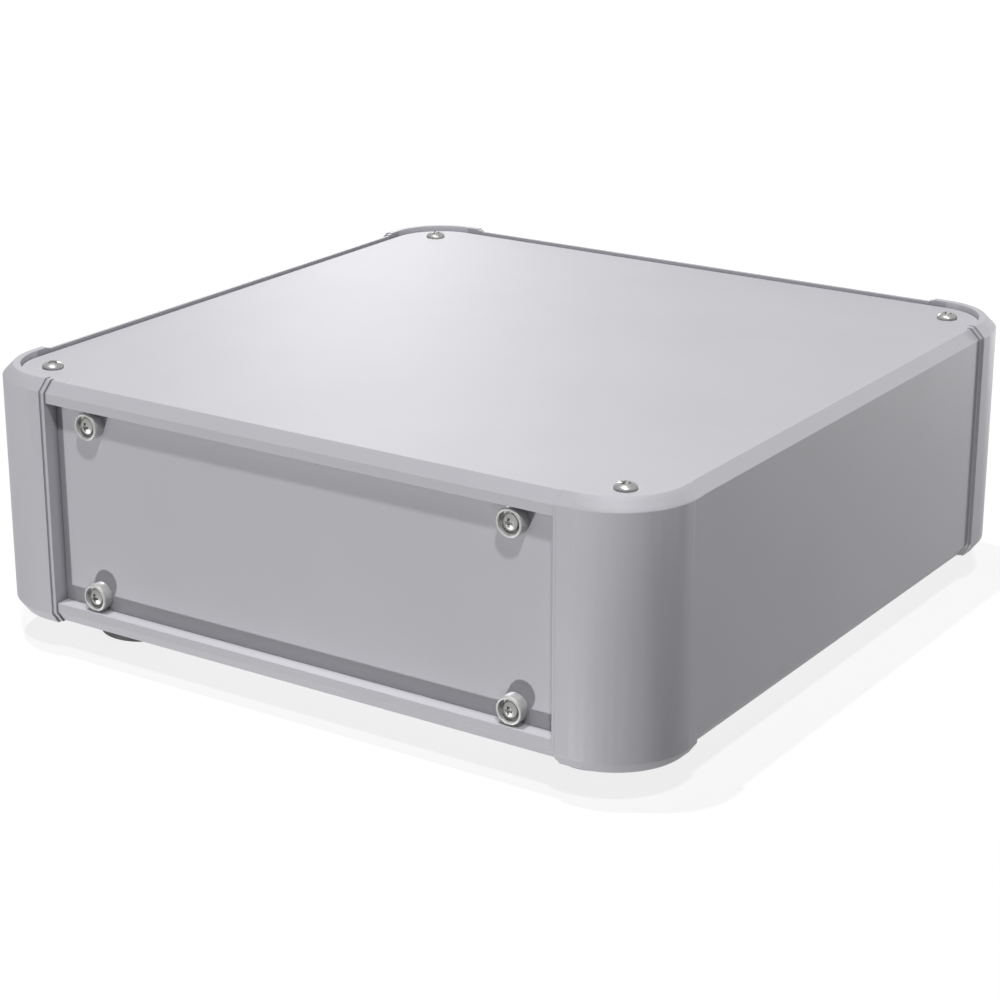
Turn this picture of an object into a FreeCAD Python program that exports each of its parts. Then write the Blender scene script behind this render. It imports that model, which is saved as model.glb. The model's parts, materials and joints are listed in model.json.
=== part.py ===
import FreeCAD, Part
import math
import os

# A low square instrument case of aluminium: four round corner posts, rails, side panels,
# covers let into the rim, recessed end panels held by collared screws, and four feet.
# Lengths are in millimetres. The origin lies on the ground under the middle of the case,
# +X is right seen from the front, +Y runs to the back and +Z is up.

# Overall sizes
case_width = 250.0  # over the posts, left to right
case_depth = 250.0  # over the posts, front to back
post_height = 81.9
foot_height = 13.1  # from the ground to the bottom cover

# Corner posts
corner_radius = 25.0  # of the outer face in plan
edge_chamfer = 3.5  # along the upper outer edges of posts, rails and side panels
lower_chamfer_width = 2.7  # along their lower outer edges
lower_chamfer_height = 3.7
leg_flat = 4.6  # flat stretch between the round corner and the strip
strip_width = 1.4  # narrow strip at the end of each leg
face_step = 0.66  # post to strip, and strip to rail, in plan
level_step = 0.4  # post to strip, and strip to rail, in height
skin_thickness = 3.5
end_wall = 3.0  # wall that closes the end of a leg
tongue_length = 10.0  # stands behind the rails and side panels
tongue_thickness = 3.0
boss_wall = 2.5  # around the tapped hole of a cover screw
rib_thickness = 3.0

# Rails and side panels
rim_width = 1.0  # flat top of a rail's rim beside the cover
web_thickness = 2.6
flange_thickness = 3.0
flange_height = 10.0
side_wall = 4.0
inner_fillet = 1.0

# Covers, end panels and their gaskets
cover_recess = 1.3  # top of the rail to the face of the cover
cover_thickness = 2.0
cover_gap = 0.2  # between a cover's edge and the rim
panel_recess = 4.7  # face of the rail to the face of the end panel
panel_thickness = 2.0
panel_gap = 0.2  # around an end panel
gasket_thickness = 0.8
gasket_gap = 0.5  # from the wall beside a gasket
cover_gasket_width = 5.0
panel_gasket_width = 9.0
fit_gap = 0.2

# Fasteners
thread_gap = 0.05  # radial, between a shank and its tapped hole
hole_gap = 0.25  # radial, between a shank and its clearance hole
cover_thread = 4.0
cover_head = 7.0
cover_head_height = 2.2
head_bevel = 0.3  # under the rim of a screw head
head_round = 0.17  # shoulder radius of a screw head, as a part of its width
recess_span = 0.56  # across a cross recess at its top, as a part of the head's width
recess_arm = 0.17  # width of its arms there
recess_low_span = 0.26  # the same at its bottom
recess_low_arm = 0.1
recess_low = 0.25  # height of its bottom, as a part of the head's height
cover_screw_length = 10.0
screw_to_gasket = 2.4  # from a cover screw's hole to the gasket
panel_thread = 3.0
panel_head = 5.6
panel_head_height = 1.8
panel_screw_length = 8.0
collar_diameter = 8.9
collar_length = 4.0
collar_floor = 2.2
collar_bore = 7.2
collar_chamfer = 0.3
collar_from_post = 15.4  # centre of a collar to the end of the rail
collar_above_shelf = 4.75  # centre of a lower collar to the rail's shelf
collar_below_shelf = 5.25  # centre of an upper collar to the rail's shelf
joint_screw_length = 6.0
side_joint_spacing = 40.0  # between the two joint screws of a side panel's end
nut_width = 7.0
nut_height = 3.2
nut_bevel = 0.7  # at the corners of a nut's upper face

# Feet
foot_diameter = 29.2
foot_chamfer = 0.4
foot_floor = 6.0  # thickness above the counterbore
foot_bore_gap = 2.0  # radial, between a screw's head and the counterbore
foot_to_post = 5.4  # centre of a foot to the corner of the post
foot_screw_length = 12.0

# Places worked out from the sizes above
half_x = case_width / 2
half_y = case_depth / 2
leg_length = corner_radius + leg_flat
post_reach = leg_length + strip_width
rail_inset = 2 * face_step
pocket_inset = rail_inset + edge_chamfer + rim_width
pocket_radius = corner_radius - pocket_inset

rail_low = foot_height - cover_recess
post_low = rail_low - 2 * level_step
post_high = post_low + post_height
rail_high = post_high - 2 * level_step
ledge_drop = cover_recess + cover_thickness + gasket_thickness
ledge_high = rail_high - ledge_drop
ledge_low = rail_low + ledge_drop
shelf_high = ledge_high - web_thickness
shelf_low = ledge_low + web_thickness
middle_z = (rail_low + rail_high) / 2

seat_depth = rail_inset + panel_recess + panel_thickness + gasket_thickness
flange_back = seat_depth + flange_thickness
end_depth = flange_back + tongue_thickness
side_back = rail_inset + side_wall
side_depth = side_back + tongue_thickness

rail_half = half_x - post_reach
side_half = half_y - post_reach
collar_x = rail_half - collar_from_post
collar_low = shelf_low + collar_above_shelf
collar_high = shelf_high - collar_below_shelf
joint_from_post = tongue_length / 2
foot_x = half_x - post_reach - foot_to_post
foot_y = half_y - post_reach - foot_to_post

gasket_radius = pocket_radius - gasket_gap - cover_gasket_width
cover_hole_radius = cover_thread / 2 + hole_gap
screw_offset = (gasket_radius - cover_hole_radius - screw_to_gasket) / math.sqrt(2)
cover_screw_x = half_x - corner_radius + screw_offset
cover_screw_y = half_y - corner_radius + screw_offset

up = FreeCAD.Vector(0, 0, 1)
along_x = FreeCAD.Vector(1, 0, 0)
along_y = FreeCAD.Vector(0, 1, 0)
origin = FreeCAD.Vector(0, 0, 0)
tolerance = 1e-4
spare = 1.0  # how far a cutting tool runs past the face that it cuts


def box(x_low, x_high, y_low, y_high, z_low, z_high):
    """A box given by its limits."""
    corner = FreeCAD.Vector(x_low, y_low, z_low)
    return Part.makeBox(x_high - x_low, y_high - y_low, z_high - z_low, corner)


def cylinder(radius, start, direction, length):
    """A cylinder from a start point along a direction."""
    return Part.makeCylinder(radius, length, start, direction)


def prism(points, direction):
    """A solid from a closed outline of straight lines, pushed along a direction."""
    closed = [FreeCAD.Vector(*point) for point in points + points[:1]]
    return Part.Face(Part.makePolygon(closed)).extrude(direction)


def rounded_plate(reach_x, reach_y, radius, z_low, thickness):
    """A plate centred on the Z axis, with round corners."""
    plate = box(-reach_x, reach_x, -reach_y, reach_y, z_low, z_low + thickness)
    upright = [edge for edge in plate.Edges if abs(edge.tangentAt(edge.FirstParameter).z) > 0.5]
    return plate.makeFillet(radius, upright)


def four_ways(shape):
    """The shape and its mirror images in the other three quarters of the case."""
    left = shape.mirror(origin, along_x)
    front = shape.mirror(origin, along_y)
    return {
        "rear_right": shape,
        "rear_left": left,
        "front_right": front,
        "front_left": left.mirror(origin, along_y),
    }


def turned(shape):
    """The shape turned half a turn about the Z axis, from the back of the case to its front."""
    copy = shape.copy()
    copy.rotate(origin, up, 180)
    return copy


def flipped(shape):
    """The shape mirrored from the top of the case to its bottom."""
    return shape.mirror(FreeCAD.Vector(0, 0, middle_z), up)


def save(name, shape):
    """One file for each piece or group of like pieces."""
    shape.exportStep("parts/" + name + ".step")


# Screws, nuts and collars, made upright with the head's seat at the origin


def cross_outline(span, width, z):
    """The outline of a cross at one height."""
    tip = span / 2
    side = width / 2
    quarter = [(tip, -side), (tip, side), (side, side)]
    points = []
    for turn in range(4):
        angle = turn * math.pi / 2
        for x, y in quarter:
            turned_x = x * math.cos(angle) - y * math.sin(angle)
            turned_y = x * math.sin(angle) + y * math.cos(angle)
            points.append(FreeCAD.Vector(turned_x, turned_y, z))
    return Part.makePolygon(points + points[:1])


def arc_point(x, z, radius, angle):
    """The point of a circle in the XZ plane at an angle from the upward direction."""
    return FreeCAD.Vector(x + radius * math.sin(angle), 0, z + radius * math.cos(angle))


def pan_screw(thread, head, head_height, length):
    """A pan-head screw, bevelled under the head, with a tapered cross recess."""
    shank = thread / 2 - thread_gap
    rim = head / 2
    points = [
        FreeCAD.Vector(0, 0, -length),
        FreeCAD.Vector(shank, 0, -length),
        FreeCAD.Vector(shank, 0, 0),
        FreeCAD.Vector(rim - head_bevel, 0, 0),
        FreeCAD.Vector(rim, 0, head_bevel),
    ]
    crown = FreeCAD.Vector(0, 0, head_height)
    # A small round shoulder runs smoothly into the large round crown
    shoulder_radius = head_round * head
    reach = rim - shoulder_radius
    rise = head_height - head_bevel
    crown_radius = (reach**2 + rise**2 - shoulder_radius**2) / (2 * (rise - shoulder_radius))
    drop = head_bevel - (head_height - crown_radius)
    angle = math.atan2(reach, drop)
    meeting = arc_point(0, head_height - crown_radius, crown_radius, angle)
    shoulder = arc_point(reach, head_bevel, shoulder_radius, (angle + math.pi / 2) / 2)
    middle = arc_point(0, head_height - crown_radius, crown_radius, angle / 2)
    edges = [Part.makeLine(a, b) for a, b in zip(points, points[1:])]
    edges.append(Part.Arc(points[-1], shoulder, meeting).toShape())
    edges.append(Part.Arc(meeting, middle, crown).toShape())
    edges.append(Part.makeLine(crown, points[0]))
    screw = Part.Face(Part.Wire(edges)).revolve(origin, up, 360)
    top = cross_outline(recess_span * head, recess_arm * head, head_height)
    bottom = cross_outline(recess_low_span * head, recess_low_arm * head, recess_low * head_height)
    return screw.cut(Part.makeLoft([bottom, top], True, True))


def hex_nut(width, height, thread):
    """A plain hexagon nut, bored for its thread."""
    corner = width / math.sqrt(3)
    points = []
    for side in range(6):
        angle = side * math.pi / 3
        points.append((corner * math.cos(angle), corner * math.sin(angle), 0))
    blank = prism(points, FreeCAD.Vector(0, 0, height))
    crown = Part.makeCone(corner + height, corner - nut_bevel, height + nut_bevel)
    return blank.common(crown).cut(cylinder(thread / 2, FreeCAD.Vector(0, 0, -spare), up, height + 2 * spare))


def collar():
    """A turned collar that stands on the panel, with the screw's seat inside."""
    hole = panel_thread / 2 + hole_gap
    outer = collar_diameter / 2
    bore = collar_bore / 2
    section = [
        (hole, 0, -collar_floor),
        (outer, 0, -collar_floor),
        (outer, 0, collar_length - collar_floor - collar_chamfer),
        (outer - collar_chamfer, 0, collar_length - collar_floor),
        (bore, 0, collar_length - collar_floor),
        (bore, 0, 0),
        (hole, 0, 0),
    ]
    closed = [FreeCAD.Vector(*point) for point in section + section[:1]]
    return Part.Face(Part.makePolygon(closed)).revolve(origin, up, 360)


def place(shape, direction, x, y, z):
    """The upright shape with its head turned to face a direction, moved to a point."""
    copy = shape.copy()
    turn = FreeCAD.Rotation(up, direction)
    copy.Placement = FreeCAD.Placement(FreeCAD.Vector(x, y, z), turn)
    return copy


def group(shapes):
    """Like pieces kept together as separate solids."""
    return Part.makeCompound(shapes)


# The corner posts, made for the rear right corner


def outer_edges(block, level, inner):
    """The edges of a corner block at one level, without the two that meet at its inner corner."""
    edges = []
    for edge in block.Edges:
        middle = edge.valueAt((edge.FirstParameter + edge.LastParameter) / 2)
        outside = min(middle.x - inner.x, middle.y - inner.y) > tolerance
        if outside and abs(middle.z - level) < tolerance:
            edges.append(edge)
    return edges


def corner_block(inset, reach, low, high):
    """A solid corner with its round outline, chamfered along the outer edges."""
    face_x = half_x - inset
    face_y = half_y - inset
    centre_x = half_x - corner_radius
    centre_y = half_y - corner_radius
    diagonal = (corner_radius - inset) / math.sqrt(2)
    start = FreeCAD.Vector(half_x - reach, face_y, low)
    tangent_back = FreeCAD.Vector(centre_x, face_y, low)
    bulge = FreeCAD.Vector(centre_x + diagonal, centre_y + diagonal, low)
    tangent_side = FreeCAD.Vector(face_x, centre_y, low)
    finish = FreeCAD.Vector(face_x, half_y - reach, low)
    inner = FreeCAD.Vector(half_x - reach, half_y - reach, low)
    outline = Part.Wire([
        Part.makeLine(start, tangent_back),
        Part.Arc(tangent_back, bulge, tangent_side).toShape(),
        Part.makeLine(tangent_side, finish),
        Part.makeLine(finish, inner),
        Part.makeLine(inner, start),
    ])
    block = Part.Face(outline).extrude(FreeCAD.Vector(0, 0, high - low))
    block = block.makeChamfer(edge_chamfer, outer_edges(block, high, inner))
    return block.makeChamfer(lower_chamfer_height, lower_chamfer_width, outer_edges(block, low, inner))


def pocket(low, high):
    """The space inside the rim that takes a cover."""
    return rounded_plate(half_x - pocket_inset, half_y - pocket_inset, pocket_radius, low, high - low)


def post_cavity():
    """The hollow behind the skin, open to the inside of the case."""
    centre_x = half_x - corner_radius
    centre_y = half_y - corner_radius
    inner_radius = corner_radius - skin_thickness
    diagonal = inner_radius / math.sqrt(2)
    wall_x = half_x - post_reach + end_wall
    wall_y = half_y - post_reach + end_wall
    skin_x = half_x - skin_thickness
    skin_y = half_y - skin_thickness
    open_x = half_x - post_reach - spare
    open_y = half_y - post_reach - spare
    points = [
        FreeCAD.Vector(skin_x, centre_y, shelf_low),
        FreeCAD.Vector(skin_x, wall_y, shelf_low),
        FreeCAD.Vector(half_x - side_depth, wall_y, shelf_low),
        FreeCAD.Vector(half_x - side_depth, open_y, shelf_low),
        FreeCAD.Vector(open_x, open_y, shelf_low),
        FreeCAD.Vector(open_x, half_y - end_depth, shelf_low),
        FreeCAD.Vector(wall_x, half_y - end_depth, shelf_low),
        FreeCAD.Vector(wall_x, skin_y, shelf_low),
        FreeCAD.Vector(centre_x, skin_y, shelf_low),
    ]
    bulge = FreeCAD.Vector(centre_x + diagonal, centre_y + diagonal, shelf_low)
    edges = [Part.makeLine(a, b) for a, b in zip(points, points[1:])]
    edges.append(Part.Arc(points[-1], bulge, points[0]).toShape())
    return Part.Face(Part.Wire(edges)).extrude(FreeCAD.Vector(0, 0, shelf_high - shelf_low))


def end_tongue():
    """The tongue behind the two rails, thickened between them as a seat for the end panel."""
    x_low = half_x - post_reach - tongue_length
    x_high = half_x - post_reach + end_wall
    y_inner = half_y - end_depth
    y_flange = half_y - flange_back
    seat_low = shelf_low + flange_height + fit_gap
    seat_high = shelf_high - flange_height - fit_gap
    tongue = box(x_low, x_high, y_inner, y_flange, shelf_low, shelf_high)
    seat = box(x_low, x_high, y_flange, half_y - seat_depth, seat_low, seat_high)
    return tongue.fuse(seat)


def side_tongue():
    """The tongue behind the side panel."""
    y_low = half_y - post_reach - tongue_length
    y_high = half_y - post_reach + end_wall
    x_low = half_x - side_depth
    x_high = half_x - side_back
    clear = inner_fillet + fit_gap
    return box(x_low, x_high, y_low, y_high, shelf_low + clear, shelf_high - clear)


def screw_boss():
    """The column tapped for the two cover screws, with a rib to the round corner."""
    radius = cover_thread / 2 + boss_wall
    height = shelf_high - shelf_low
    column = cylinder(radius, FreeCAD.Vector(cover_screw_x, cover_screw_y, shelf_low), up, height)
    rib_length = corner_radius - skin_thickness / 2 - screw_offset * math.sqrt(2)
    rib = box(0, rib_length, -rib_thickness / 2, rib_thickness / 2, shelf_low, shelf_high)
    rib.rotate(origin, up, 45)
    rib.translate(FreeCAD.Vector(cover_screw_x, cover_screw_y, 0))
    return column.fuse(rib)


def joint_places():
    """Where the joint screws go: (x, y, z, direction of the head) for the rear right corner."""
    places = []
    end_x = half_x - post_reach - joint_from_post
    for z in (collar_low, collar_high):
        places.append(("rail", end_x, half_y - end_depth, z, FreeCAD.Vector(0, -1, 0)))
    side_y = half_y - post_reach - joint_from_post
    for z in (middle_z - side_joint_spacing / 2, middle_z + side_joint_spacing / 2):
        places.append(("side", half_x - side_depth, side_y, z, FreeCAD.Vector(-1, 0, 0)))
    return places


def joint_hole(place_of_screw, radius, first, last):
    """A hole along a joint screw, between two depths under its head."""
    _, x, y, z, head_side = place_of_screw
    start = FreeCAD.Vector(x, y, z) - head_side * first
    return cylinder(radius, start, head_side * -1, last - first)


def corner_post():
    """One post: a stepped, chamfered skin with rims, floors, a boss and two tongues."""
    skin = corner_block(0, leg_length, post_low, post_high)
    strip = corner_block(face_step, post_reach, post_low + level_step, post_high - level_step)
    post = skin.fuse(strip)
    post = post.cut(pocket(ledge_high, post_high + spare))
    post = post.cut(pocket(post_low - spare, ledge_low))
    post = post.cut(post_cavity())
    post = post.fuse([end_tongue(), side_tongue(), screw_boss()])
    tapped = cylinder(cover_thread / 2, FreeCAD.Vector(cover_screw_x, cover_screw_y, 0), up, post_high)
    holes = [tapped]
    for place_of_screw in joint_places():
        holes.append(joint_hole(place_of_screw, panel_thread / 2 + hole_gap, -spare, tongue_thickness))
    return post.cut(holes).removeSplitter()


# Rails and side panels, made for the back and the right


def rail_section(x, chamfer_width, chamfer_height):
    """The section of the top rail: lip, rim, ledge, web and the flange behind the panel."""
    face = half_y - rail_inset
    return [
        (x, face, rail_high - chamfer_height),
        (x, face - chamfer_width, rail_high),
        (x, half_y - pocket_inset, rail_high),
        (x, half_y - pocket_inset, ledge_high),
        (x, half_y - flange_back, ledge_high),
        (x, half_y - flange_back, shelf_high - flange_height),
        (x, half_y - seat_depth, shelf_high - flange_height),
        (x, half_y - seat_depth, shelf_high),
        (x, face, shelf_high),
    ]


def rear_rail(chamfer_width, chamfer_height, holes_below_shelf):
    """A rear rail, shelf down, tapped for the collar screws and the joint screws."""
    section = rail_section(-rail_half, chamfer_width, chamfer_height)
    rail = prism(section, FreeCAD.Vector(2 * rail_half, 0, 0))
    z = shelf_high - holes_below_shelf
    holes = []
    for side in (-1, 1):
        start = FreeCAD.Vector(side * collar_x, half_y - flange_back - spare, z)
        holes.append(cylinder(panel_thread / 2, start, along_y, flange_thickness + 2 * spare))
        joint_x = side * (rail_half - joint_from_post)
        start = FreeCAD.Vector(joint_x, half_y - flange_back - spare, z)
        holes.append(cylinder(panel_thread / 2, start, along_y, flange_thickness + 2 * spare))
    return rail.cut(holes)


def side_section(y):
    """The section of the right side panel, with a head along its top and bottom."""
    face = half_x - rail_inset
    return [
        (face, y, rail_high - edge_chamfer),
        (face - edge_chamfer, y, rail_high),
        (half_x - pocket_inset, y, rail_high),
        (half_x - pocket_inset, y, ledge_high),
        (half_x - flange_back, y, ledge_high),
        (half_x - flange_back, y, shelf_high),
        (half_x - side_back, y, shelf_high),
        (half_x - side_back, y, shelf_low),
        (half_x - flange_back, y, shelf_low),
        (half_x - flange_back, y, ledge_low),
        (half_x - pocket_inset, y, ledge_low),
        (half_x - pocket_inset, y, rail_low),
        (face - lower_chamfer_width, y, rail_low),
        (face, y, rail_low + lower_chamfer_height),
    ]


def side_panel():
    """The right side panel, with blind tapped holes for the joint screws."""
    panel = prism(side_section(-side_half), FreeCAD.Vector(0, 2 * side_half, 0))
    inner = []
    for edge in panel.Edges:
        middle = edge.valueAt((edge.FirstParameter + edge.LastParameter) / 2)
        at_web = min(abs(middle.z - shelf_high), abs(middle.z - shelf_low)) < tolerance
        if at_web and abs(middle.x - (half_x - side_back)) < tolerance and abs(middle.y) < tolerance:
            inner.append(edge)
    panel = panel.makeFillet(inner_fillet, inner)
    holes = []
    for place_of_screw in joint_places():
        if place_of_screw[0] == "side":
            hole = joint_hole(place_of_screw, panel_thread / 2, 0, joint_screw_length + fit_gap)
            holes.append(hole)
            holes.append(hole.mirror(origin, along_y))
    return panel.cut(holes)


# Covers, panels and gaskets


def cover():
    """The top cover: a flat plate with round corners and four screw holes."""
    reach_x = half_x - pocket_inset - cover_gap
    reach_y = half_y - pocket_inset - cover_gap
    low = rail_high - cover_recess - cover_thickness
    plate = rounded_plate(reach_x, reach_y, pocket_radius - cover_gap, low, cover_thickness)
    start = FreeCAD.Vector(cover_screw_x, cover_screw_y, low - spare)
    hole = cylinder(cover_hole_radius, start, up, cover_thickness + 2 * spare)
    return plate.cut(list(four_ways(hole).values()))


def bottom_cover():
    """The bottom cover, with holes for the screws of the feet as well."""
    plate = flipped(cover())
    start = FreeCAD.Vector(foot_x, foot_y, foot_height - spare)
    hole = cylinder(cover_hole_radius, start, up, cover_thickness + 2 * spare)
    return plate.cut(list(four_ways(hole).values()))


def cover_gasket():
    """The ring between the top cover and its ledge."""
    outer_x = half_x - pocket_inset - gasket_gap
    outer_y = half_y - pocket_inset - gasket_gap
    radius = pocket_radius - gasket_gap
    ring = rounded_plate(outer_x, outer_y, radius, ledge_high, gasket_thickness)
    inner_x = outer_x - cover_gasket_width
    inner_y = outer_y - cover_gasket_width
    hole = rounded_plate(inner_x, inner_y, gasket_radius, ledge_high - spare, gasket_thickness + 2 * spare)
    return ring.cut(hole)


def panel_holes(radius):
    """Clearance holes for the four collar screws of the rear panel."""
    holes = []
    for x in (-collar_x, collar_x):
        for z in (collar_low, collar_high):
            start = FreeCAD.Vector(x, half_y - flange_back, z)
            holes.append(cylinder(radius, start, along_y, flange_back))
    return holes


def end_panel():
    """The rear panel: a flat plate between the rails and the posts."""
    face = half_y - rail_inset - panel_recess
    reach = rail_half - panel_gap
    plate = box(-reach, reach, face - panel_thickness, face, shelf_low + panel_gap, shelf_high - panel_gap)
    return plate.cut(panel_holes(panel_thread / 2 + hole_gap))


def panel_gasket():
    """The frame between the rear panel and its seat."""
    face = half_y - seat_depth + gasket_thickness
    back = half_y - seat_depth
    reach = rail_half - gasket_gap
    low = shelf_low + gasket_gap
    high = shelf_high - gasket_gap
    width = panel_gasket_width
    frame = box(-reach, reach, back, face, low, high)
    window = box(width - reach, reach - width, back - spare, face + spare, low + width, high - width)
    return frame.cut(window).cut(panel_holes(panel_thread / 2 + 2 * hole_gap))


def foot():
    """A round foot with a counterbore for its screw, at the rear right."""
    outer = foot_diameter / 2
    hole = cover_thread / 2 + hole_gap
    bore = cover_head / 2 + foot_bore_gap
    seat = foot_height - foot_floor
    section = [
        (bore, 0, 0),
        (outer - foot_chamfer, 0, 0),
        (outer, 0, foot_chamfer),
        (outer, 0, foot_height - foot_chamfer),
        (outer - foot_chamfer, 0, foot_height),
        (hole, 0, foot_height),
        (hole, 0, seat),
        (bore, 0, seat),
    ]
    closed = [FreeCAD.Vector(*point) for point in section + section[:1]]
    body = Part.Face(Part.makePolygon(closed)).revolve(origin, up, 360)
    body.translate(FreeCAD.Vector(foot_x, foot_y, 0))
    return body


# Groups of like fasteners


def collar_fittings(shape):
    """The shape at each of the four collars of the rear panel."""
    seat = half_y - rail_inset - panel_recess + collar_floor
    placed = []
    for x in (-collar_x, collar_x):
        for z in (collar_low, collar_high):
            placed.append(place(shape, along_y, x, seat, z))
    return group(placed)


def joint_screws(kind):
    """The joint screws of all four corners, for the rails or for the side panels."""
    screw = pan_screw(panel_thread, panel_head, panel_head_height, joint_screw_length)
    placed = []
    for name, x, y, z, head_side in joint_places():
        if name == kind:
            placed += list(four_ways(place(screw, head_side, x, y, z)).values())
    return group(placed)


def write_parts():
    os.makedirs("parts", exist_ok=True)

    for name, post in four_ways(corner_post()).items():
        save(name + "_post", post)

    top_rail = rear_rail(edge_chamfer, edge_chamfer, collar_below_shelf)
    save("rear_top_rail", top_rail)
    save("front_top_rail", turned(top_rail))
    bottom_rail = flipped(rear_rail(lower_chamfer_width, lower_chamfer_height, collar_above_shelf))
    save("rear_bottom_rail", bottom_rail)
    save("front_bottom_rail", turned(bottom_rail))

    side = side_panel()
    save("right_side_panel", side)
    save("left_side_panel", side.mirror(origin, along_x))

    save("top_cover", cover())
    save("bottom_cover", bottom_cover())
    save("top_cover_gasket", cover_gasket())
    save("bottom_cover_gasket", flipped(cover_gasket()))

    save("rear_panel", end_panel())
    save("front_panel", turned(end_panel()))
    save("rear_panel_gasket", panel_gasket())
    save("front_panel_gasket", turned(panel_gasket()))

    cover_screw = pan_screw(cover_thread, cover_head, cover_head_height, cover_screw_length)
    cover_screw.translate(FreeCAD.Vector(cover_screw_x, cover_screw_y, rail_high - cover_recess))
    top_screws = group(list(four_ways(cover_screw).values()))
    save("top_cover_screws", top_screws)
    save("bottom_cover_screws", flipped(top_screws))

    panel_screw = pan_screw(panel_thread, panel_head, panel_head_height, panel_screw_length)
    save("rear_panel_collars", collar_fittings(collar()))
    save("front_panel_collars", turned(collar_fittings(collar())))
    save("rear_panel_screws", collar_fittings(panel_screw))
    save("front_panel_screws", turned(collar_fittings(panel_screw)))

    save("rail_joint_screws", joint_screws("rail"))
    save("side_joint_screws", joint_screws("side"))

    for name, one_foot in four_ways(foot()).items():
        save(name + "_foot", one_foot)
    foot_screw = pan_screw(cover_thread, cover_head, cover_head_height, foot_screw_length)
    foot_screw = place(foot_screw, up * -1, foot_x, foot_y, foot_height - foot_floor)
    save("foot_screws", group(list(four_ways(foot_screw).values())))
    nut = hex_nut(nut_width, nut_height, cover_thread)
    nut.translate(FreeCAD.Vector(foot_x, foot_y, foot_height + cover_thickness))
    save("foot_nuts", group(list(four_ways(nut).values())))


write_parts()
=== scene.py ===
import json
import math

import bpy
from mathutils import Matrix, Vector

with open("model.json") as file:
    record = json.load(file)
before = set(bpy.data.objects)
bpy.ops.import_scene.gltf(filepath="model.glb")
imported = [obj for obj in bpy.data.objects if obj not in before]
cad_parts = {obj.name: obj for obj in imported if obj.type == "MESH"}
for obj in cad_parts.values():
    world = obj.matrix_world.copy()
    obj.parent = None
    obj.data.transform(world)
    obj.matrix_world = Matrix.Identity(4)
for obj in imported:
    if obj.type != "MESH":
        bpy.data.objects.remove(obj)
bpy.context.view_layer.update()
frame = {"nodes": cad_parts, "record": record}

# Camera, in metres and degrees in the part's frame
camera_place = (0.44328, -0.67557, 0.3202)
camera_pitch_down = 19.405
camera_turn_left = 33.62
camera_lens = 91.45  # millimetres, as the sensor's width is
sensor_width = 36.0

# Lamps: place and size in metres, power in watts; each one is turned to the middle of the case
lamps = {
    "front_lamp": {"place": (1.053, -1.436, 2.797), "size": 0.22, "power": 55.0},
    "low_lamp": {"place": (-0.799, -1.619, -1.703), "size": 0.14, "power": 40.0},
    "top_lamp": {"place": (-0.231, -0.335, 2.8), "size": 0.05, "power": 40.0},
    "right_lamp": {"place": (0.377, 0.717, 0.05), "size": 0.1, "power": 2.15},
    "rear_lamp": {"place": (-1.08, 1.362, 0.454), "size": 0.14, "power": 5.2},
}
plain_lamp = "rear_lamp"  # casts no shadow: its shine reaches the front shelf and the collars too
lamp_aim = (0, 0, 0.05)
fill_strength = 0.01

# Floor
floor_size = 6.0
floor_colour = 0.17
floor_roughness = 0.9
near_glow = 0.79  # added where the camera or a reflection sees the floor
far_glow = 1.0
glow_start = 0.3  # distance from the middle of the case at which the glow begins to rise
glow_end = 0.9
white = (1, 1, 1, 1)

# Materials: colours are linear, and lengths in metres.
# A noise is its scale and its detail; at scale s its features are about 1 / s long.
# Tones are the darkest and the lightest share of a colour.
# A stretch is how much longer a noise is along x, y and z: it draws the lines of extruded pieces.
noise_span = (0.3, 0.7)  # a noise seldom leaves these values

# Aluminium
aluminium_colour = (0.492, 0.487, 0.52)
aluminium_metallic = 0.05
aluminium_specular = 0.3
aluminium_roughness = 0.57
aluminium_spread = 0.05  # of the roughness, to both sides
cloud_noise = (28, 2)
cloud_tones = (0.985, 1.015)
grain_noise = (2600, 3)
grain_depth = 0.000006
line_noise = (900, 1)
line_depth = 0.000003
cover_stretch = (40, 1, 1)
rail_stretch = (60, 1, 1)
side_stretch = (1, 60, 1)

# Painted shade in corners and recesses, and painted light in screw recesses: how near its walls a
# place is changed, and the deepest place's share of colour
post_painted_shade = (0.0035, 0.5)
side_painted_shade = (0.0025, 0.6)
panel_painted_shade = (0.005, 0.7)
recess_painted_light = (0.0008, 1.6)  # painted light: the plating in a recess is made lighter
open_span = (0.35, 0.9)  # how open the deepest place is, and a place that isn't changed
corner_samples = 8

# Plated steel of the screws and nuts
screw_colour = (0.33, 0.33, 0.325)
screw_roughness = 0.34
zinc_colour = (0.52, 0.53, 0.55)
zinc_roughness = 0.35
steel_spread = (0.06, 0.08)  # of the roughness, down and up
rub_noise = (260, 2)
rub_tones = (0.94, 1.04)
ripple_noise = (900, 3)
ripple_depth = 0.000008

# Turned collars: their axes run along y, to both sides of x = 0 and above and below the middle z
collar_spread_x = 0.0786
collar_middle_z = 0.0517
collar_spread_z = 0.02845
collar_colour = (0.48, 0.48, 0.475)
collar_metallic = 0.3
collar_roughness = 0.45
collar_spread = (0.05, 0.07)
turning_pitch = 0.00018
turning_depth = 0.000004
smear_noise = (500, 2)
smear_tones = (0.93, 1.05)
smear_depth = 0.000006

# Rubber of the feet
foot_colour = (0.03, 0.03, 0.03)
foot_roughness = 0.6
foot_spread = 0.08
foot_noise = (1500, 3)
foot_depth = 0.00002
dust_noise = (180, 4)
dust_tones = (0.8, 1.5)

# Rubber of the gaskets, with grains of metal
gasket_colour = (0.05, 0.05, 0.052)
gasket_noise = (900, 2)
gasket_roughness = (0.55, 0.75)
filler_colour = (0.5, 0.5, 0.5)
filler_scale = 2500
filler_reach = (0.15, 0.3)  # where a grain's edge begins and ends, as parts of its cell
filler_depth = 0.00001

# Edge rounding of the solids, in metres
large_edge = 0.00018
small_edge = 0.0001
collar_edge = 0.00014
edge_angle = 32  # degrees
edge_segments = 2
weld_reach = 0.000001

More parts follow.
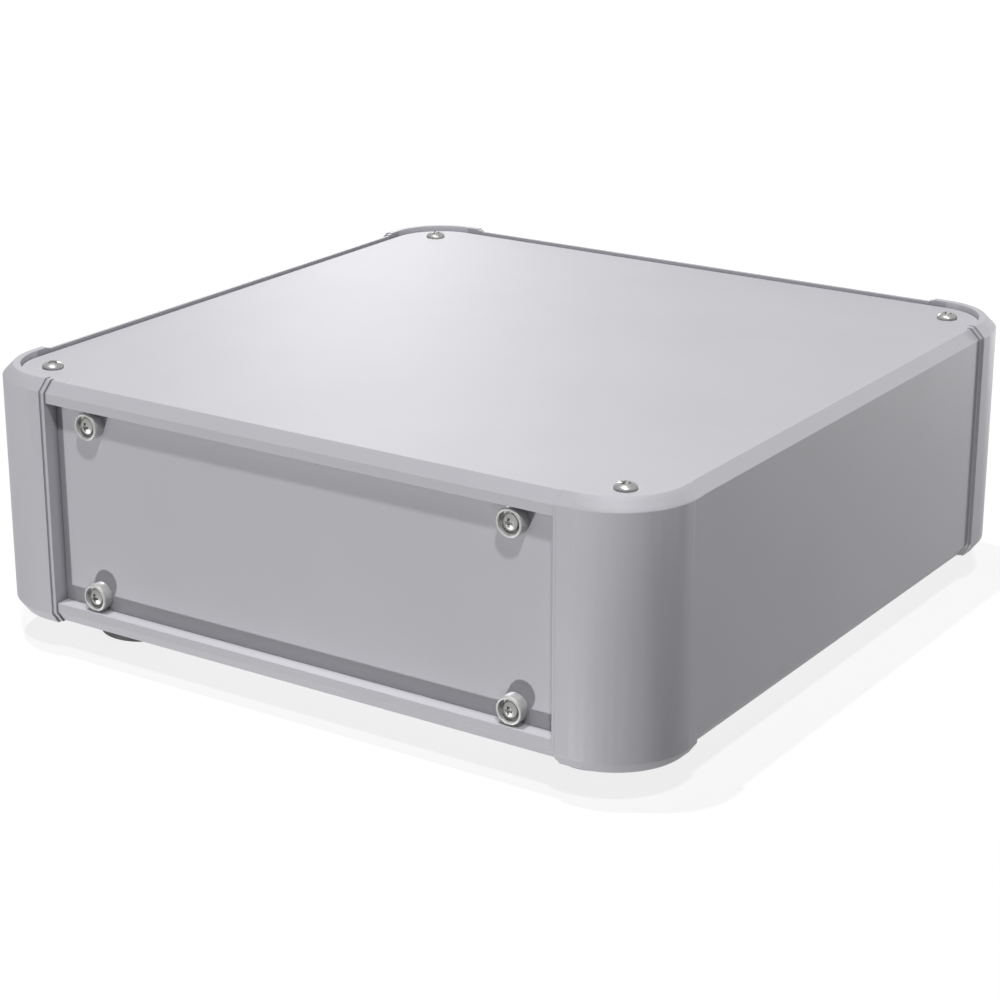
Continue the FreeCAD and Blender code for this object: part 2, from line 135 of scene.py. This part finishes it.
# Sockets of a mix node that mixes colours
mix_share, mix_first, mix_second, mix_result = 0, 6, 7, 2


def principled(name):
    """A new material, with its node tree and its main shader."""
    material = bpy.data.materials.new(name)
    material.use_nodes = True
    return material, material.node_tree, material.node_tree.nodes["Principled BSDF"]


def math_node(tree, operation, first, second=None):
    """A math node; each input is a socket or a number."""
    node = tree.nodes.new("ShaderNodeMath")
    node.operation = operation
    for place, value in enumerate((first, second)):
        if value is None:
            continue
        if isinstance(value, (int, float)):
            node.inputs[place].default_value = value
        else:
            tree.links.new(value, node.inputs[place])
    return node.outputs["Value"]


def noise(tree, scale, detail, stretch=(1, 1, 1)):
    """Noise in the object's own coordinates, longer where it is stretched."""
    place = tree.nodes.new("ShaderNodeTexCoord")
    mapping = tree.nodes.new("ShaderNodeMapping")
    mapping.inputs["Scale"].default_value = [1 / part for part in stretch]
    texture = tree.nodes.new("ShaderNodeTexNoise")
    texture.inputs["Scale"].default_value = scale
    texture.inputs["Detail"].default_value = detail
    tree.links.new(place.outputs["Object"], mapping.inputs["Vector"])
    tree.links.new(mapping.outputs["Vector"], texture.inputs["Vector"])
    return texture.outputs["Fac"]


def ranged(tree, value, low, high, span=noise_span):
    """The value, which runs over the span, spread over low to high."""
    node = tree.nodes.new("ShaderNodeMapRange")
    node.inputs["From Min"].default_value = span[0]
    node.inputs["From Max"].default_value = span[1]
    node.inputs["To Min"].default_value = low
    node.inputs["To Max"].default_value = high
    tree.links.new(value, node.inputs["Value"])
    return node.outputs["Result"]


def shaded(tree, value, colour, tones):
    """The colour made darker and lighter by the value."""
    mix = tree.nodes.new("ShaderNodeMix")
    mix.data_type = "RGBA"
    for socket, tone in zip((mix_first, mix_second), tones):
        mix.inputs[socket].default_value = (*[part * tone for part in colour], 1)
    tree.links.new(ranged(tree, value, 0, 1), mix.inputs[mix_share])
    return mix.outputs[mix_result]


def painted_hollow_light_and_shade(tree, colour_socket, reach, share):
    """Painted shade and light in corners and recesses: the colour is made darker there when the share
    is below 1, and lighter when it is above 1.
    """
    hollow = tree.nodes.new("ShaderNodeAmbientOcclusion")
    hollow.samples = corner_samples
    hollow.inputs["Distance"].default_value = reach
    level = ranged(tree, hollow.outputs["AO"], share, 1.0, open_span)
    shade = tree.nodes.new("ShaderNodeCombineColor")
    for channel in ("Red", "Green", "Blue"):
        tree.links.new(level, shade.inputs[channel])
    mix = tree.nodes.new("ShaderNodeMix")
    mix.data_type = "RGBA"
    mix.blend_type = "MULTIPLY"
    mix.inputs[mix_share].default_value = 1.0
    tree.links.new(colour_socket, mix.inputs[mix_first])
    tree.links.new(shade.outputs["Color"], mix.inputs[mix_second])
    return mix.outputs[mix_result]


def relief(tree, heights):
    """Bumps laid over each other: pairs of a height value and its depth in metres."""
    normal = None
    for value, depth in heights:
        bump = tree.nodes.new("ShaderNodeBump")
        bump.inputs["Strength"].default_value = 1.0
        bump.inputs["Distance"].default_value = depth
        tree.links.new(value, bump.inputs["Height"])
        if normal is not None:
            tree.links.new(normal, bump.inputs["Normal"])
        normal = bump.outputs["Normal"]
    return normal


def satin_aluminium(name, stretch, corners):
    """Blasted, clear anodised aluminium: fine grain, faint drawing lines, slow changes of tone, and
    painted shade near walls where it is given.
    """
    material, tree, shader = principled(name)
    grain = noise(tree, *grain_noise)
    clouds = noise(tree, *cloud_noise)
    shader.inputs["Metallic"].default_value = aluminium_metallic
    shader.inputs["Specular IOR Level"].default_value = aluminium_specular
    skin = shaded(tree, clouds, aluminium_colour, cloud_tones)
    # Painted shade: the colour is darker near walls, in corners and recesses
    if corners is not None:
        skin = painted_hollow_light_and_shade(tree, skin, *corners)
    tree.links.new(skin, shader.inputs["Base Color"])
    smooth = aluminium_roughness - aluminium_spread
    rough = aluminium_roughness + aluminium_spread
    tree.links.new(ranged(tree, grain, smooth, rough), shader.inputs["Roughness"])
    heights = [(grain, grain_depth)]
    if stretch is not None:
        heights.append((noise(tree, *line_noise, stretch), line_depth))
    tree.links.new(relief(tree, heights), shader.inputs["Normal"])
    return material


def plated_steel(name, colour, roughness):
    """Plated steel: a smooth bright skin with slight ripples, rubbed patches and painted light in its
    recesses.
    """
    material, tree, shader = principled(name)
    shader.inputs["Metallic"].default_value = 1.0
    ripple = noise(tree, *ripple_noise)
    patches = noise(tree, *rub_noise)
    skin = shaded(tree, patches, colour, rub_tones)
    # Painted light: the colour is lighter in recesses
    tree.links.new(painted_hollow_light_and_shade(tree, skin, *recess_painted_light), shader.inputs["Base Color"])
    down, up = steel_spread
    gloss = ranged(tree, patches, roughness - down, roughness + up)
    tree.links.new(gloss, shader.inputs["Roughness"])
    tree.links.new(relief(tree, [(ripple, ripple_depth)]), shader.inputs["Normal"])
    return material


def collar_travel(tree):
    """The way from a collar's axis out over its face and back along its side, in metres."""
    place = tree.nodes.new("ShaderNodeTexCoord")
    split = tree.nodes.new("ShaderNodeSeparateXYZ")
    tree.links.new(place.outputs["Object"], split.inputs["Vector"])
    side = math_node(tree, "ABSOLUTE", split.outputs["X"])
    across = math_node(tree, "SUBTRACT", side, collar_spread_x)
    from_middle = math_node(tree, "SUBTRACT", split.outputs["Z"], collar_middle_z)
    row = math_node(tree, "ABSOLUTE", from_middle)
    level = math_node(tree, "SUBTRACT", row, collar_spread_z)
    across_squared = math_node(tree, "POWER", across, 2.0)
    level_squared = math_node(tree, "POWER", level, 2.0)
    radius = math_node(tree, "SQRT", math_node(tree, "ADD", across_squared, level_squared))
    along = math_node(tree, "ABSOLUTE", split.outputs["Y"])
    return math_node(tree, "ADD", radius, along)


def turned_metal(name, colour, roughness):
    """Turned collars: fine rings round each collar's axis."""
    material, tree, shader = principled(name)
    shader.inputs["Metallic"].default_value = collar_metallic
    turns = math_node(tree, "MULTIPLY", collar_travel(tree), 2 * math.pi / turning_pitch)
    rings = math_node(tree, "SINE", turns)
    smear = noise(tree, *smear_noise)
    tree.links.new(shaded(tree, smear, colour, smear_tones), shader.inputs["Base Color"])
    down, up = collar_spread
    gloss = ranged(tree, smear, roughness - down, roughness + up)
    tree.links.new(gloss, shader.inputs["Roughness"])
    heights = [(rings, turning_depth), (smear, smear_depth)]
    tree.links.new(relief(tree, heights), shader.inputs["Normal"])
    return material


def moulded_rubber(name, colour, roughness):
    """Matt moulded rubber with a fine texture and a little dust."""
    material, tree, shader = principled(name)
    texture = noise(tree, *foot_noise)
    dust = noise(tree, *dust_noise)
    tree.links.new(shaded(tree, dust, colour, dust_tones), shader.inputs["Base Color"])
    gloss = ranged(tree, dust, roughness - foot_spread, roughness + foot_spread)
    tree.links.new(gloss, shader.inputs["Roughness"])
    tree.links.new(relief(tree, [(texture, foot_depth)]), shader.inputs["Normal"])
    return material


def conductive_rubber(name, colour):
    """Dark gasket rubber filled with bright metal grains."""
    material, tree, shader = principled(name)
    place = tree.nodes.new("ShaderNodeTexCoord")
    cells = tree.nodes.new("ShaderNodeTexVoronoi")
    cells.inputs["Scale"].default_value = filler_scale
    tree.links.new(place.outputs["Object"], cells.inputs["Vector"])
    grains = ranged(tree, cells.outputs["Distance"], 1, 0, filler_reach)
    mix = tree.nodes.new("ShaderNodeMix")
    mix.data_type = "RGBA"
    mix.inputs[mix_first].default_value = (*colour, 1)
    mix.inputs[mix_second].default_value = (*filler_colour, 1)
    tree.links.new(grains, mix.inputs[mix_share])
    tree.links.new(mix.outputs[mix_result], shader.inputs["Base Color"])
    tree.links.new(grains, shader.inputs["Metallic"])
    gloss = ranged(tree, noise(tree, *gasket_noise), *gasket_roughness)
    tree.links.new(gloss, shader.inputs["Roughness"])
    bumps = relief(tree, [(cells.outputs["Distance"], filler_depth)])
    tree.links.new(bumps, shader.inputs["Normal"])
    return material


def make_finishes():
    """One material for each of the record's slots."""
    return {
        # The case and the panel have painted shade near walls; the cover has none
        "case_aluminium": satin_aluminium("case_aluminium", None, post_painted_shade),
        "cover_aluminium": satin_aluminium("cover_aluminium", cover_stretch, None),
        "panel_aluminium": satin_aluminium("panel_aluminium", cover_stretch, panel_painted_shade),
        "screw_steel": plated_steel("screw_steel", screw_colour, screw_roughness),
        "collar_metal": turned_metal("collar_metal", collar_colour, collar_roughness),
        "inner_steel": plated_steel("inner_steel", zinc_colour, zinc_roughness),
        "gasket_rubber": conductive_rubber("gasket_rubber", gasket_colour),
        "foot_rubber": moulded_rubber("foot_rubber", foot_colour, foot_roughness),
    }


def soften(node, width):
    """Rounds the sharp edges of a solid."""
    weld = node.modifiers.new("weld", "WELD")
    weld.merge_threshold = weld_reach
    bevel = node.modifiers.new("edges", "BEVEL")
    bevel.width = width
    bevel.segments = edge_segments
    bevel.limit_method = "ANGLE"
    bevel.angle_limit = math.radians(edge_angle)
    bevel.harden_normals = True
    bevel.use_clamp_overlap = True


def dress():
    """Gives each solid its material, and rounds the edges of rails, side panels, posts, feet, screws
    and collars; rails and side panels have lines along them.
    """
    finishes = make_finishes()
    # Rails and side panels have painted shade near walls too
    along_x = satin_aluminium("rail_aluminium", rail_stretch, side_painted_shade)
    along_y = satin_aluminium("side_aluminium", side_stretch, side_painted_shade)
    for subpart in frame["record"]["subparts"]:
        name = subpart["node"]
        node = frame["nodes"][name]
        material = finishes[subpart["material_slot"]]
        if name.endswith("rail"):
            material = along_x
        if name in ("left_side_panel", "right_side_panel"):
            material = along_y
        node.data.materials.clear()
        node.data.materials.append(material)
        if name.endswith(("rail", "side_panel", "post", "foot")):
            soften(node, large_edge)
        if name.endswith("screws"):
            soften(node, small_edge)
        if name.endswith("collars"):
            soften(node, collar_edge)


def seen_ray(tree):
    """1 for rays of the camera, reflections and transmission, else 0."""
    path = tree.nodes.new("ShaderNodeLightPath")
    seen = math_node(tree, "MAXIMUM", path.outputs["Is Camera Ray"], path.outputs["Is Glossy Ray"])
    return math_node(tree, "MAXIMUM", seen, path.outputs["Is Transmission Ray"])


def make_floor():
    """A pale floor that shows white where it is lit and keeps the case's shadow.

    It casts no shadow itself, so that the low lamp, which stands below it, reaches the case.
    """
    bpy.ops.mesh.primitive_plane_add(size=floor_size)
    floor = bpy.context.object
    floor.name = "floor"
    floor.visible_shadow = False
    material, tree, shader = principled("floor")
    shader.inputs["Base Color"].default_value = (floor_colour, floor_colour, floor_colour, 1)
    shader.inputs["Roughness"].default_value = floor_roughness
    shader.inputs["Emission Color"].default_value = white
    place = tree.nodes.new("ShaderNodeTexCoord")
    distance = tree.nodes.new("ShaderNodeVectorMath")
    distance.operation = "LENGTH"
    tree.links.new(place.outputs["Object"], distance.inputs[0])
    glow_span = (glow_start, glow_end)
    level = ranged(tree, distance.outputs["Value"], near_glow, far_glow, glow_span)
    glow = math_node(tree, "MULTIPLY", seen_ray(tree), level)
    tree.links.new(glow, shader.inputs["Emission Strength"])
    floor.data.materials.append(material)


def make_world():
    """White for the camera and in reflections, a weak fill elsewhere."""
    world = bpy.data.worlds.new("studio")
    bpy.context.scene.world = world
    world.use_nodes = True
    tree = world.node_tree
    background = tree.nodes["Background"]
    background.inputs["Color"].default_value = white
    strength = ranged(tree, seen_ray(tree), fill_strength, 1.0, (0, 1))
    tree.links.new(strength, background.inputs["Strength"])


def make_lamps():
    """Round lamps, each turned to the case."""
    for name, lamp in lamps.items():
        light = bpy.data.lights.new(name, "AREA")
        light.shape = "DISK"
        light.size = lamp["size"]
        light.energy = lamp["power"]
        light.use_shadow = name != plain_lamp
        holder = bpy.data.objects.new(name, light)
        holder.location = lamp["place"]
        back = Vector(lamp["place"]) - Vector(lamp_aim)
        holder.rotation_euler = back.to_track_quat("Z", "Y").to_euler()
        bpy.context.scene.collection.objects.link(holder)


def make_camera():
    """The camera at the photograph's place."""
    camera = bpy.data.cameras.new("camera")
    camera.lens = camera_lens
    camera.sensor_width = sensor_width
    holder = bpy.data.objects.new("camera", camera)
    holder.location = camera_place
    pitch = math.radians(90 - camera_pitch_down)
    holder.rotation_euler = (pitch, 0, math.radians(camera_turn_left))
    bpy.context.scene.collection.objects.link(holder)
    bpy.context.scene.camera = holder


dress()
make_floor()
make_world()
make_lamps()
make_camera()
bpy.context.scene.view_settings.view_transform = "Standard"
